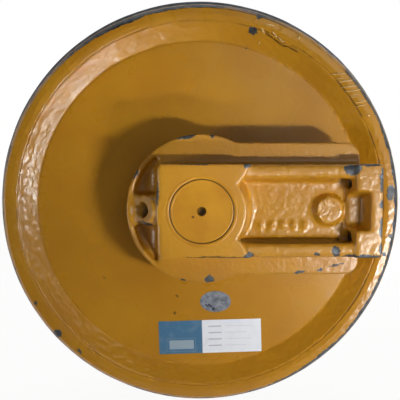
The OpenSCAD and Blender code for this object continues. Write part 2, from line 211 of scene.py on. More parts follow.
def fresh(name):
    """An empty material with its output and the piece's own coordinates."""
    material = bpy.data.materials.new(name)
    material.use_nodes = True
    tree = material.node_tree
    tree.nodes.clear()
    output = add(tree, "OutputMaterial", {}, {})
    place = add(tree, "TexCoord", {}, {}).outputs["Object"]
    return material, tree, output, place


def patches(tree, place, spots, start):
    """Adds patches to a mask: each is a centre and half-lengths in x, y and z, in mm, and a turn about Y."""
    mask = start
    for x, y, z, hx, hy, hz, turn in spots:
        own = add(tree, "Mapping", {"vector_type": "TEXTURE"},
                  {"Vector": place, "Location": (x * MM, y * MM, z * MM), "Rotation": (0, math.radians(-turn), 0),
                   "Scale": (hx * MM, hy * MM, hz * MM)})
        reach = add(tree, "VectorMath", {"operation": "LENGTH"}, {0: own.outputs[0]})
        patch = add(tree, "MapRange", {}, {"Value": reach.outputs["Value"], "From Min": 1.08, "From Max": 0.94})
        mask = add(tree, "Math", {"operation": "MAXIMUM"}, {0: mask, 1: patch.outputs[0]}).outputs[0]
    return mask


# A fold in the forging beside the crease, painted as a dark line of shade in four pieces: centre x, y, z,
# half-lengths x, y, z, and turn about Y
FOLD_SHADE = [(85, -82, 211.1, 6, 7, 0.9, -31.5), (95, -81, 204.2, 7.8, 7, 0.9, -37),
        (104.3, -80, 199, 4.6, 7, 0.8, -14), (114.2, -81, 194.8, 7.8, 7, 0.7, -28)]
# Painted shade on the lower wall of each arm pocket and in each pin hole, and on the floor of each notch
POCKET_SHADE = [(108, y, -35.6, 85, 16, 3.4, 0) for y in (-144, 144)]
POCKET_SHADE += [(-59, y, 0, 21, 10, 10, 0) for y in (-138, 138)]
NOTCH_SHADE = [(181, y, 0, 12, 9, 19, 0) for y in (-138, 138)]


def toward(tree, way, aim, low, high, least=0.0, most=1.0):
    """A mask that grows from the least to the most as a direction comes round to the aim."""
    match = add(tree, "VectorMath", {"operation": "DOT_PRODUCT"}, {0: way, 1: aim}).outputs["Value"]
    limits = {"Value": match, "From Min": low, "From Max": high, "To Min": least, "To Max": most}
    return add(tree, "MapRange", {}, limits).outputs[0]


def wheel_wear(tree, place, ragged):
    """Bare steel on the outer edges of both rims, widest at the right and the upper left, and on the corners of
    the guide flange; painted shade in the turned crease, along the chamfer at the upper right and in the fold."""
    flat = add(tree, "VectorMath", {"operation": "MULTIPLY"}, {0: place, 1: (1, 0, 1)})
    radius = add(tree, "VectorMath", {"operation": "LENGTH"}, {0: flat.outputs[0]}).outputs["Value"]
    way = add(tree, "VectorMath", {"operation": "NORMALIZE"}, {0: flat.outputs[0]}).outputs[0]
    worn = toward(tree, way, (0.95, 0, -0.3), 0.35, 0.95)
    top = toward(tree, way, (-0.34, 0, 0.94), 0.86, 0.98)
    worn = add(tree, "Math", {"operation": "MAXIMUM"}, {0: worn, 1: top}).outputs[0]
    patchy = add(tree, "TexNoise", {}, {"Vector": place, "Scale": 1 / 0.03, "Detail": 3}).outputs["Fac"]
    # The paint ends about 248 mm from the axle, and about 244 mm where it is most worn
    limit = add(tree, "MapRange", {}, {"Value": worn, "To Min": 0.2492, "To Max": 0.2448}).outputs[0]
    limit = add(tree, "Math", {"operation": "MULTIPLY_ADD"}, {0: patchy, 1: -0.007, 2: limit}).outputs[0]
    limit = add(tree, "Math", {"operation": "MULTIPLY_ADD"}, {0: ragged, 1: 0.005, 2: limit}).outputs[0]
    past = add(tree, "Math", {"operation": "SUBTRACT"}, {0: radius, 1: limit}).outputs[0]
    edge = add(tree, "MapRange", {}, {"Value": past, "From Min": -0.0002, "From Max": 0.0004}).outputs[0]
    # The tread itself keeps its paint
    tread = add(tree, "MapRange", {}, {"Value": radius, "From Min": (TREAD_R - 1.2) * MM,
                                       "From Max": (TREAD_R - 0.4) * MM, "To Min": 1, "To Max": 0})
    edge = add(tree, "Math", {"operation": "MULTIPLY"}, {0: edge, 1: tread.outputs[0]}).outputs[0]
    # The guide flange is bare on its corners, where radius and depth add up to more than about 289 mm
    depth = add(tree, "SeparateXYZ", {}, {"Vector": place}).outputs["Y"]
    depth = add(tree, "Math", {"operation": "ABSOLUTE"}, {0: depth}).outputs[0]
    corner = add(tree, "Math", {"operation": "ADD"}, {0: radius, 1: depth}).outputs[0]
    corner = add(tree, "Math", {"operation": "MULTIPLY_ADD"}, {0: ragged, 1: -0.006, 2: corner}).outputs[0]
    corner = add(tree, "MapRange", {}, {"Value": corner, "From Min": 0.2855, "From Max": 0.2865}).outputs[0]
    flange = add(tree, "Math", {"operation": "GREATER_THAN"}, {0: radius, 1: (FLANGE_R - 8) * MM}).outputs[0]
    corner = add(tree, "Math", {"operation": "MULTIPLY"}, {0: corner, 1: flange}).outputs[0]
    edge = add(tree, "Math", {"operation": "MAXIMUM"}, {0: edge, 1: corner}).outputs[0]
    # Painted shade in the turned crease, most of it at the right, and along the chamfer at the upper right
    upper = toward(tree, way, (0.5, 0, 0.87), 0.8, 0.9)
    right = toward(tree, way, (0.98, 0, 0.2), 0.25, 0.75, 0.2, 0.8)
    mask = 0.0
    for groove, share in ((CREASE_R, right), (CHAMFER_R, upper)):
        gap = add(tree, "Math", {"operation": "SUBTRACT"}, {0: radius, 1: groove * MM}).outputs[0]
        gap = add(tree, "Math", {"operation": "ABSOLUTE"}, {0: gap}).outputs[0]
        line = add(tree, "MapRange", {}, {"Value": gap, "From Min": 0.0014, "From Max": 0.0005}).outputs[0]
        line = add(tree, "Math", {"operation": "MULTIPLY"}, {0: line, 1: share}).outputs[0]
        mask = add(tree, "Math", {"operation": "MAXIMUM"}, {0: mask, 1: line}).outputs[0]
    broken = add(tree, "MapRange", {}, {"Value": patchy, "From Min": 0.44, "From Max": 0.56}).outputs[0]
    mask = add(tree, "Math", {"operation": "MULTIPLY"}, {0: mask, 1: broken}).outputs[0]
    return edge, patches(tree, place, FOLD_SHADE, mask)


def casting_wear(tree, place, ragged):
    """Bare steel on knocked outer edges and painted shade in inner corners, both read from how far smoothing moved
    each point; more painted shade in the pocket, the notch and the pin hole."""
    bend = add(tree, "Attribute", {"attribute_name": "edge_bend"}, {}).outputs["Fac"]
    patchy = add(tree, "TexNoise", {}, {"Vector": place, "Scale": 1 / 0.022, "Detail": 3}).outputs["Fac"]
    edge = add(tree, "Math", {"operation": "MULTIPLY_ADD"}, {0: patchy, 1: 1.9, 2: bend}).outputs[0]
    edge = add(tree, "Math", {"operation": "MULTIPLY_ADD"}, {0: ragged, 1: 0.7, 2: edge}).outputs[0]
    bare = add(tree, "MapRange", {}, {"Value": edge, "From Min": 2.3, "From Max": 2.4}).outputs[0]
    # Painted shade in inner corners, where smoothing moved the points outwards
    painted_shade = add(tree, "MapRange", {}, {"Value": bend, "From Min": -0.3, "From Max": -0.9, "To Max": 0.22}).outputs[0]
    # More painted shade in the pocket, the pin holes and the notches
    for spots, share in ((POCKET_SHADE, 0.95), (NOTCH_SHADE, 0.4)):
        shaded = patches(tree, place, spots, 0.0)
        shaded = add(tree, "Math", {"operation": "MULTIPLY"}, {0: shaded, 1: share}).outputs[0]
        painted_shade = add(tree, "Math", {"operation": "MAXIMUM"}, {0: painted_shade, 1: shaded}).outputs[0]
    return bare, painted_shade


def enamel(name, paints, spots, marks, wear, skin_mm, skin_height, peel_share, rough, ior):
    """Sprayed ochre enamel on cast and forged steel: glossy and a little wavy, with bare steel where it is knocked.
    The eye gets soft broken highlights, brown painted shade in the corners and creases, and blue-grey metal in the
    chips."""
    material, tree, output, place = fresh(name)
    # Paint that drifts between two ochres over about 80 mm
    drift = add(tree, "TexNoise", {}, {"Vector": place, "Scale": 1 / 0.08, "Detail": 3})
    drift = add(tree, "MapRange", {}, {"Value": drift.outputs["Fac"], "From Min": 0.35, "From Max": 0.65})
    paint = add(tree, "Mix", {"data_type": "RGBA"},
                {0: drift.outputs[0], 6: colour(paints[0]), 7: colour(paints[1])})
    # Specks of dust and grit in the paint, drawn at up to 5 mm so that they show
    grit = add(tree, "TexNoise", {},
               {"Vector": place, "Scale": 1 / 0.005, "Detail": 4, "Roughness": 0.7}).outputs["Fac"]
    speck = add(tree, "MapRange", {}, {"Value": grit, "From Min": 0.66, "From Max": 0.8, "To Max": 0.55})
    paint = add(tree, "Mix", {"data_type": "RGBA"},
                {0: speck.outputs[0], 6: paint.outputs[2], 7: colour(GRIT)})
    # Ragged borders for every chip: the place is shaken by up to 5 mm each way, by noise about 6 mm in size
    shake = add(tree, "TexNoise", {}, {"Vector": place, "Scale": 1 / 0.006, "Detail": 5, "Roughness": 0.7})
    ragged = shake.outputs["Fac"]
    moved = add(tree, "VectorMath", {"operation": "MULTIPLY_ADD"},
                {0: shake.outputs["Color"], 1: (0.01, 0.01, 0.01), 2: place})
    moved = add(tree, "VectorMath", {"operation": "SUBTRACT"},
                {0: moved.outputs[0], 1: (0.005, 0.005, 0.005)}).outputs[0]
    # The wear gives bare steel and painted shade
    bare, painted_shade = wear(tree, place, ragged)
    bare = patches(tree, moved, spots, bare)
    # Dark dirt and rub marks, and the painted shade from the wear, on top of the paint
    marks_and_shade = patches(tree, moved, marks, painted_shade)
    marks_and_shade = add(tree, "Math", {"operation": "MULTIPLY"}, {0: marks_and_shade, 1: 0.8})
    paint = add(tree, "Mix", {"data_type": "RGBA"},
                {0: marks_and_shade.outputs[0], 6: paint.outputs[2], 7: colour(DIRT_AND_SHADE)})
    tone = add(tree, "TexNoise", {}, {"Vector": place, "Scale": 1 / 0.012, "Detail": 3})
    tone = add(tree, "MapRange", {}, {"Value": tone.outputs["Fac"], "From Min": 0.3, "From Max": 0.7})
    steel = add(tree, "Mix", {"data_type": "RGBA"},
                {0: tone.outputs[0], 6: colour(CHIP_STEELS[0]), 7: colour(CHIP_STEELS[1])})
    base = add(tree, "Mix", {"data_type": "RGBA"}, {0: bare, 6: paint.outputs[2], 7: steel.outputs[2]})
    # Skin of the casting or forging under the paint, and orange peel, drawn at 3.5 mm so that it shows
    skin = add(tree, "TexNoise", {}, {"Vector": place, "Scale": 1 / (skin_mm * MM), "Detail": 2}).outputs["Fac"]
    peel = add(tree, "TexNoise", {}, {"Vector": place, "Scale": 1 / 0.0035, "Detail": 1}).outputs["Fac"]
    height = add(tree, "Math", {"operation": "MULTIPLY_ADD"}, {0: peel, 1: peel_share, 2: skin}).outputs[0]
    height = add(tree, "Math", {"operation": "MULTIPLY_ADD"}, {0: bare, 1: -0.35, 2: height}).outputs[0]
    height = add(tree, "Math", {"operation": "MULTIPLY_ADD"}, {0: speck.outputs[0], 1: 0.5, 2: height}).outputs[0]
    bump = add(tree, "Bump", {}, {"Height": height, "Distance": skin_height * MM, "Strength": 0.6})
    gloss = add(tree, "MapRange", {}, {"Value": drift.outputs[0], "To Min": rough - 0.03, "To Max": rough + 0.03})
    gloss = add(tree, "MapRange", {}, {"Value": bare, "To Max": 0.5, "To Min": gloss.outputs[0]})
    metal = add(tree, "Math", {"operation": "MULTIPLY"}, {0: bare, 1: 0.6})
    shader = add(tree, "BsdfPrincipled", {},
                 {"Base Color": base.outputs[2], "Metallic": metal.outputs[0], "Roughness": gloss.outputs[0],
                  "Normal": bump.outputs[0], "IOR": ior})
    tree.links.new(shader.outputs[0], output.inputs["Surface"])
    return material


def bare_metal(name, light, dark, rough, grain, spread):
    """Uncoated metal: two shades that drift, fine tool marks as bump, and uneven gloss.
    The grain is the length of the marks along x, y and z in millimetres, so turned and ground marks run one way."""
    material, tree, output, place = fresh(name)
    stretched = add(tree, "VectorMath", {"operation": "MULTIPLY"}, {0: place, 1: [1 / (g * MM) for g in grain]})
    marks = add(tree, "TexNoise", {}, {"Vector": stretched.outputs[0], "Scale": 1, "Detail": 3}).outputs["Fac"]
    drift = add(tree, "TexNoise", {}, {"Vector": place, "Scale": 1 / (spread * MM), "Detail": 4}).outputs["Fac"]
    shade = add(tree, "MapRange", {}, {"Value": drift, "From Min": 0.35, "From Max": 0.65})
    base = add(tree, "Mix", {"data_type": "RGBA"}, {0: shade.outputs[0], 6: colour(light), 7: colour(dark)})
    gloss = add(tree, "MapRange", {}, {"Value": marks, "To Min": rough - 0.08, "To Max": rough + 0.1})
    bump = add(tree, "Bump", {}, {"Height": marks, "Distance": 0.08 * MM, "Strength": 0.5})
    shader = add(tree, "BsdfPrincipled", {},
                 {"Base Color": base.outputs[2], "Metallic": 1.0, "Roughness": gloss.outputs[0],
                  "Normal": bump.outputs[0]})
    tree.links.new(shader.outputs[0], output.inputs["Surface"])
    return material


def painted_axle():
    """Ground axle steel whose ends were sprayed over with the brackets: ochre on the end faces, satin grey between.
    The eye gets a smoother ochre disc with faint lathe rings, and painted shade in the lathe centres, in a pit
    beside the centre and in the joint round the end."""
    material, tree, output, place = fresh("ground_axle_steel_with_sprayed_ends")
    parts = add(tree, "SeparateXYZ", {}, {"Vector": place})
    depth = add(tree, "Math", {"operation": "ABSOLUTE"}, {0: parts.outputs["Y"]}).outputs[0]
    sprayed = add(tree, "MapRange", {}, {"Value": depth, "From Min": 0.1486, "From Max": 0.1490}).outputs[0]
    flat = add(tree, "VectorMath", {"operation": "MULTIPLY"}, {0: place, 1: (1, 0, 1)})
    radius = add(tree, "VectorMath", {"operation": "LENGTH"}, {0: flat.outputs[0]}).outputs["Value"]
    drift = add(tree, "TexNoise", {}, {"Vector": place, "Scale": 1 / 0.03, "Detail": 4}).outputs["Fac"]
    drift = add(tree, "MapRange", {}, {"Value": drift, "From Min": 0.35, "From Max": 0.65}).outputs[0]
    paint = add(tree, "Mix", {"data_type": "RGBA"}, {0: drift, 6: colour("#C48B1D"), 7: colour("#B67C18")})
    # Painted shade in both lathe centres, in one pit beside the near one, and in the joint round the axle's end
    pit_shade = patches(tree, place, [(0, -BLOCK_FRONT, 0, 5.2, 30, 5.2, 0), (-9.9, -BLOCK_FRONT, -6.4, 1.7, 30, 1.4, 20),
                                (0, BLOCK_FRONT, 0, 5.2, 30, 5.2, 0)], 0.0)
    joint_shade = add(tree, "Math", {"operation": "SUBTRACT"}, {0: radius, 1: 0.0367}).outputs[0]
    joint_shade = add(tree, "Math", {"operation": "ABSOLUTE"}, {0: joint_shade}).outputs[0]
    joint_shade = add(tree, "MapRange", {}, {"Value": joint_shade, "From Min": 0.0009, "From Max": 0.0005}).outputs[0]
    pit_shade = add(tree, "Math", {"operation": "MAXIMUM"}, {0: pit_shade, 1: joint_shade}).outputs[0]
    pit_shade = add(tree, "Math", {"operation": "MULTIPLY"}, {0: pit_shade, 1: 0.85}).outputs[0]
    paint = add(tree, "Mix", {"data_type": "RGBA"}, {0: pit_shade, 6: paint.outputs[2], 7: colour("#3A2814")})
    steel = add(tree, "Mix", {"data_type": "RGBA"}, {0: drift, 6: colour("#B9B6AE"), 7: colour("#96938C")})
    base = add(tree, "Mix", {"data_type": "RGBA"}, {0: sprayed, 6: steel.outputs[2], 7: paint.outputs[2]})
    # Facing rings under the paint, drawn 2.4 mm apart so that they show
    rings = add(tree, "Math", {"operation": "MULTIPLY"}, {0: radius, 1: 2 * math.pi / 0.0024}).outputs[0]
    rings = add(tree, "Math", {"operation": "SINE"}, {0: rings}).outputs[0]
    peel = add(tree, "TexNoise", {}, {"Vector": place, "Scale": 1 / 0.004, "Detail": 2}).outputs["Fac"]
    height = add(tree, "Math", {"operation": "MULTIPLY_ADD"}, {0: rings, 1: 0.06, 2: peel}).outputs[0]
    bump = add(tree, "Bump", {}, {"Height": height, "Distance": 0.25 * MM, "Strength": 0.5})
    metal = add(tree, "Math", {"operation": "SUBTRACT"}, {0: 1.0, 1: sprayed})
    shader = add(tree, "BsdfPrincipled", {},
                 {"Base Color": base.outputs[2], "Metallic": metal.outputs[0], "Roughness": 0.33,
                  "Normal": bump.outputs[0]})
    tree.links.new(shader.outputs[0], output.inputs["Surface"])
    return material


def nitrile_rubber():
    """Moulded black nitrile rubber: nearly matte, with a dusty bloom in patches of about 10 mm."""
    material, tree, output, place = fresh("moulded_nitrile_rubber")
    bloom = add(tree, "TexNoise", {}, {"Vector": place, "Scale": 1 / 0.01, "Detail": 4}).outputs["Fac"]
    base = add(tree, "Mix", {"data_type": "RGBA"}, {0: bloom, 6: colour("#161616"), 7: colour("#2A2926")})
    fine = add(tree, "TexNoise", {}, {"Vector": place, "Scale": 1 / 0.001, "Detail": 2}).outputs["Fac"]
    bump = add(tree, "Bump", {}, {"Height": fine, "Distance": 0.05 * MM, "Strength": 0.4})
    gloss = add(tree, "MapRange", {}, {"Value": bloom, "To Min": 0.5, "To Max": 0.7})
    shader = add(tree, "BsdfPrincipled", {}, {"Base Color": base.outputs[2], "Roughness": gloss.outputs[0],
                                              "Normal": bump.outputs[0], "IOR": 1.52})
    tree.links.new(shader.outputs[0], output.inputs["Surface"])
    return material


# Labels: x and z of the middle, width and height in millimetres, and the paper one's tilt in degrees
LABEL = (12.3, -170.7, 132.5, 43.2, 1.6)
OVAL = (19.2, -124.9, 40.0, 27.4)
SHEET_START = 75.0
SHEET_LIFT = 0.3
SHEET_THICKNESS = 0.25


def printed_label():
    """Coated paper label: a slate blue field with a plain pale panel, and a white field with plain grey rules.
    The eye gets flat ink with a slight sheen, and faint creases in the paper."""
    material, tree, output, place = fresh("coated_paper_label")
    x, z, _, _, tilt = LABEL
    own = add(tree, "Mapping", {"vector_type": "TEXTURE"},
              {"Vector": place, "Location": (x * MM, 0, z * MM), "Rotation": (0, math.radians(-tilt), 0),
               "Scale": (MM, MM, MM)})
    parts = add(tree, "SeparateXYZ", {}, {"Vector": own.outputs[0]})
    u, v = parts.outputs["X"], parts.outputs["Z"]

    def field(u0, u1, v0, v1):
        """1 inside a rectangle of the label, in millimetres from its middle."""
        mask = 1.0
        for value, low, high in ((u, u0, u1), (v, v0, v1)):
            away = add(tree, "Math", {"operation": "SUBTRACT"}, {0: value, 1: (low + high) / 2}).outputs[0]
            away = add(tree, "Math", {"operation": "ABSOLUTE"}, {0: away}).outputs[0]
            half = (high - low) / 2
            inside = add(tree, "MapRange", {}, {"Value": away, "From Min": half + 0.15, "From Max": half - 0.15})
            mask = add(tree, "Math", {"operation": "MULTIPLY"}, {0: mask, 1: inside.outputs[0]}).outputs[0]
        return mask

    def over(base, mask, hex_code, strength):
        """One ink laid over what is there."""
        cover = add(tree, "Math", {"operation": "MULTIPLY"}, {0: mask, 1: strength}).outputs[0]
        return add(tree, "Mix", {"data_type": "RGBA"}, {0: cover, 6: base, 7: colour(hex_code)}).outputs[2]

    ink = over(colour("#F3F8FF"), field(-68, -10.2, -23, 23), LABEL_BLUE, 1)
    # A thin frame round a plain panel
    for frame_box, hex_code in (((-57, -18.6, -19, -1.2), "#6F8DA0"), ((-56.3, -19.3, -18.3, -1.9), LABEL_BLUE),
                                ((-53, -21.4, -15.6, -4), "#9FB3C0")):
        ink = over(ink, field(*frame_box), hex_code, 1)
    # Four plain rules, each a short dark one and a long pale one
    for k, v_rule in enumerate((13.2, 4.8, -3.6, -12.0)):
        ink = over(ink, field(-2, 15, v_rule - 0.7, v_rule + 0.7), "#7B858E", 0.55)
        ink = over(ink, field(20, 52 - 5 * (k % 2), v_rule - 0.4, v_rule + 0.4), "#B4BEC8", 0.4)
    mottle = add(tree, "TexNoise", {}, {"Vector": place, "Scale": 1 / 0.012, "Detail": 4}).outputs["Fac"]
    mottle = add(tree, "MapRange", {},
                 {"Value": mottle, "From Min": 0.5, "From Max": 0.8, "To Max": 0.22}).outputs[0]
    ink = over(ink, mottle, "#B9C6D2", 1)
    crease = add(tree, "TexNoise", {}, {"Vector": place, "Scale": 1 / 0.02, "Detail": 2}).outputs["Fac"]
    bump = add(tree, "Bump", {}, {"Height": crease, "Distance": 0.4 * MM, "Strength": 0.4})
    shader = add(tree, "BsdfPrincipled", {},
                 {"Base Color": ink, "Roughness": 0.42, "Normal": bump.outputs[0], "IOR": 1.48})
    tree.links.new(shader.outputs[0], output.inputs["Surface"])
    return material


def foil_label():
    """Worn aluminium foil label: a dull slate print that has rubbed through to the foil in patches."""
    material, tree, output, place = fresh("rubbed_aluminium_foil")
    rub = add(tree, "TexNoise", {},
              {"Vector": place, "Scale": 1 / 0.007, "Detail": 5, "Roughness": 0.65}).outputs["Fac"]
    rub = add(tree, "MapRange", {}, {"Value": rub, "From Min": 0.36, "From Max": 0.62}).outputs[0]
    base = add(tree, "Mix", {"data_type": "RGBA"}, {0: rub, 6: colour("#5F6672"), 7: colour("#9AA0A8")})
    # Three dark stains at its lower edge
    drip = patches(tree, place, [(12, -69, -130, 3.4, 9, 1.3, -40), (16.5, -69, -134.5, 2.2, 9, 2.4, 0),
                                 (8, -69, -130, 3.2, 9, 0.8, -40)], 0.0)
    base = add(tree, "Mix", {"data_type": "RGBA"}, {0: drip, 6: base.outputs[2], 7: colour("#3C4354")})
    bump = add(tree, "Bump", {}, {"Height": rub, "Distance": 0.15 * MM, "Strength": 0.5})
    metal = add(tree, "MapRange", {}, {"Value": rub, "To Min": 0.1, "To Max": 0.5})
    shader = add(tree, "BsdfPrincipled", {},
                 {"Base Color": base.outputs[2], "Metallic": metal.outputs[0], "Roughness": 0.45,
                  "Normal": bump.outputs[0]})
    tree.links.new(shader.outputs[0], output.inputs["Surface"])
    return material


# Chips: centre x, y, z, half-lengths x, y, z, and turn about Y
WHEEL_CHIPS = [
    (64.5, -83, 216.5, 6.2, 6, 5.4, 0), (57.5, -77, 198.5, 3.6, 8, 3.4, 0),
    (73, -83, 234.5, 4.5, 6, 2.8, -15), (239, -84, 17, 5, 8, 10.5, -8),
    (-181.6, -82, -161.8, 5.5, 8, 5, -45), (-154, -82, -185.2, 2, 8, 3.8, 20), (-209, -82, -122, 2.5, 8, 3, 0),
    (232, -82, -62, 2.5, 8, 3, 20), (240, -82, -39, 2.5, 8, 3, 20),
]
# Dark specks on the web, and dirt along the block's lower edge and beside the pin hole, in the same way
WHEEL_MARKS = [(-124, -69, -94, 1.6, 6, 1.6, 0), (-29, -69, -118, 2.2, 6, 1.3, -30),
               (-34, -69, -139, 2.8, 6, 1.6, 25)]
BRACKET_MARKS = [(20, -160, -53, 40, 3, 1.2, 0), (-66, -136, -15.5, 11, 14, 3.2, 0),
                 (-56, -140, 13.5, 7, 10, 2, 0)]
BRACKET_CHIPS = [
    (9.5, -127, -84, 5.5, 5, 4.5, -20), (173, -157, 48, 10, 9, 6.5, 0), (196, -160, 53.5, 17, 6, 2.4, 0),
    (206.5, -159, 36, 3, 7, 14, 0), (206.5, -159, 8, 2.6, 5, 5, 0), (206.5, -159, -19, 2.8, 6, 12, 0),
    (206.5, -159, -44, 2.8, 6, 7, 0), (186, -158, -53, 24, 8, 3, 0), (155, -154, -47, 5, 9, 6, 0),
    (133, -156, -50, 4, 8, 2, 0), (54, -157, -51, 6, 7, 4, 0), (52, -158, 52, 4, 7, 3, 0),
    (118, -127, -75.5, 7, 5, 2, 5), (143, -127, -73, 4, 5, 1.8, 5),
    (162, -127, -67, 9, 5, 1.4, 12), (-17, -127, 86, 12, 4, 2.5, 10), (13, -127, 86, 2.6, 4, 2.6, 0),
    (-79, -127, 41, 3, 5, 7, -25), (-62, -138, -15, 7, 12, 2, -8), (-22, -127, -85, 4, 4, 1.5, -15),
    (-51, -157, 20, 1.6, 7, 15, 0), (192, -160, 5, 1.4, 4, 7, 0), (-8, -159, 54.5, 16, 4, 1.3, 0),
    (95, -158, 54, 12, 6, 1.6, 0),
]

wheel_enamel = enamel("ochre_enamel_on_forged_steel", OCHRES, WHEEL_CHIPS, WHEEL_MARKS, wheel_wear,
                      skin_mm=12, skin_height=0.25, peel_share=0.55, rough=0.28, ior=1.54)
bracket_enamel = enamel("ochre_enamel_on_cast_steel", OCHRES, BRACKET_CHIPS, BRACKET_MARKS, casting_wear,
                        skin_mm=5, skin_height=0.85, peel_share=0.25, rough=0.33, ior=1.68)
# A paler ochre painted on the ripples and beads as their highlight
ridge_highlight_enamel = enamel("ochre_enamel_painted_highlight", HIGHLIGHT_OCHRES, [], [], lambda *_: (0.0, 0.0),
                      skin_mm=4, skin_height=0.2, peel_share=0.25, rough=0.28, ior=1.68)
axle_finish = painted_axle()
rubber = nitrile_rubber()
FINISHES = {
    "rim_weld": wheel_enamel, "hub_weld_near": wheel_enamel, "hub_weld_far": wheel_enamel, "axle": axle_finish,
    "hub_sleeve": bare_metal("turned_hub_steel", "#A3A09A", "#7F7C77", 0.38, (40, 1.2, 40), 25),
    "bush_": bare_metal("bronze_bush_lining", "#B98A45", "#93682F", 0.32, (40, 0.8, 40), 12),
    "seal_ring": bare_metal("lapped_hard_iron", "#6C6C6E", "#515154", 0.25, (6, 6, 6), 15),
    "lock_pin": bare_metal("blackened_pin_steel", "#4B4A48", "#33322F", 0.42, (1, 12, 12), 8),
    "oil_plug": bare_metal("zinc_plated_plug_steel", "#9EA3A6", "#777C80", 0.4, (3, 3, 3), 9),
    "plug_washer": bare_metal("soft_copper_washer", "#B8683C", "#94502C", 0.36, (4, 4, 4), 7),
    "toric": rubber, "oring": rubber,
}
thread_steel = bare_metal("oiled_tapped_steel", "#6B6257", "#3F382F", 0.36, (1, 8, 8), 6)

# Wheel shells: web, turned groove, filleted wall, crease, slightly crowned rim face, tread and guide flange.
# Points lie 8 mm apart at most, and 2 mm on the wall and the rim, so that the crinkles there have shape.
PROFILE = close_set(close_set(rounded([
    (HUB_R, 55, 0), (HUB_R, WEB_FACE, 0), (205.6, WEB_FACE, 0.6), (206.6, 68.2, 0.6), (208.6, 68.5, 3),
    (214.8, 72.5, 12), (221.6, 77.1, 12), (227.4, 81.3, 3), (229.2, 82.2, 0.6), (CREASE_R, 81.7, 0.5),
    (231.4, 82.7, 1), (237, RIM_FACE, 9), (245, 83.5, 1.6), (TREAD_R, 78.2, 2.5), (TREAD_R, 42.5, 5),
    (FLANGE_R, 30.5, 3), (FLANGE_R, 7, 0), (257, 0, 0), (225, 0, 0), (225, 55, 7),
]), 8), 2, 204, 60)
SHELL_STEPS = 576
shells = {}
for side, sign in (("near", -1), ("far", 1)):
    shell = turned("wheel_shell_" + side, [(r, sign * w) for r, w in PROFILE], SHELL_STEPS)
    waves(shell, "forging_waves_" + side, 38, 0.7)
    mark(shell, "wall", lambda x, y, z: abs(y) > 60 and 207 < math.hypot(x, z) < 246)
    waves(shell, "wall_ripple_" + side, 7, 0.8, "wall")
    waves(shell, "wall_crinkle_" + side, 3.4, 1.1, "wall")
    pick(shell)
    bpy.ops.object.shade_smooth_by_angle(angle=math.radians(40))
    dress(shell, "wheel", "yellow_enamel", wheel_enamel, "wheel_half_" + side)
    shells[side] = shell

# Ripples that a tool left across the rim face: x and z of the two ends of each
RIPPLES = [
    (163, 163.7, 178.5, 165), (169.6, 158.6, 176.8, 158.9), (171.5, 154.3, 187.6, 156.6),
    (175.8, 148, 193.7, 149.8), (179.4, 142.7, 198.1, 145.1), (186.7, 138.7, 196.3, 139),
    (188.1, 135.8, 193.1, 136), (193, 129, 204.9, 131.2), (193.6, 124.4, 206.2, 127.3),
    (207.9, 112.7, 210, 113.2),
]
# Weld spatter beside the fold at the upper right: x, z, half-length, half-width and turn about Y.
# It is painted pale as a highlight like the ripples, so it is joined to them.
BEADS = [
    (76.7, 217.1, 4.6, 1.1, -62), (92.4, 211.6, 2.8, 1.1, -55), (98, 207.2, 3.8, 0.9, -55),
    (89.4, 214.6, 2, 1, -50), (101.6, 204, 1.8, 0.8, -50), (120.9, 208.5, 2.2, 1.4, 80),
    (85.4, 224.1, 5.5, 0.8, -12), (73.2, 204.6, 2.6, 0.8, 75),
]
# The raised lip of that fold, in the same way
LIP = [(86, 213, 6.5, 1.4, -31), (96.2, 206, 7.5, 1.4, -37), (105, 200.7, 4.4, 1.3, -14),
       (115, 196.4, 7.4, 1.2, -28)]
# The near wall and rim face as radii and depths
FACE_R = (208.6, 214.8, 221.6, 227.4, 229.2, 237, 245)
FACE_DEPTH = (68.5, 72.5, 77.1, 81.3, 82.2, RIM_FACE, 83.5)
LUMP_HEIGHT = 1.5


def on_rim(x, z):
    """A place on the near rim or the wall beside it."""
    return x, -numpy.interp(math.hypot(x, z), FACE_R, FACE_DEPTH), z


ripples = []
for x0, z0, x1, z1 in RIPPLES:
    half = (math.hypot(x1 - x0, z1 - z0) / 2 + 1, LUMP_HEIGHT, 0.8)
    ripples.append(lump("ripple", on_rim((x0 + x1) / 2, (z0 + z1) / 2), half,
                        math.degrees(math.atan2(z1 - z0, x1 - x0))))
ripples += [lump("bead", on_rim(x, z), (long, LUMP_HEIGHT, wide), turn) for x, z, long, wide, turn in BEADS]
spatter = [lump("lip", on_rim(x, z), (long, LUMP_HEIGHT, wide), turn) for x, z, long, wide, turn in LIP]
# A row of low beads along the lower left of the rim, of uneven length and not quite in line
ROW = 16
for k in range(ROW):
    t = k / (ROW - 1)
    spot = on_rim(-169 + 31 * t, -152 - 32 * t + math.sin(7 * k))
    spatter.append(lump("bead", spot, (2.6 + math.sin(4 * k), 1.2, 1.3), -46))
rim_ripples = joined("rim_ripples", ripples)
rim_spatter = joined("rim_spatter", spatter)
# The ripples and beads get the paler ochre, a painted highlight
for piece, finish in ((rim_ripples, ridge_highlight_enamel), (rim_spatter, wheel_enamel)):
    waves(piece, piece.name + "_skin", 4, 0.5)
    pick(piece)
    bpy.ops.object.shade_smooth()
    dress(piece, "wheel", "yellow_enamel", finish)


# Labels on the near web
def on_web(obj):
    """Lays a flat sheet on the near web and gives it a thickness."""
    apply_modifier(obj, "SHRINKWRAP", target=shells["near"], wrap_method="PROJECT", use_project_y=True,
                   use_negative_direction=True, use_positive_direction=True, offset=SHEET_LIFT * MM)
    apply_modifier(obj, "SOLIDIFY", thickness=SHEET_THICKNESS * MM, offset=0)


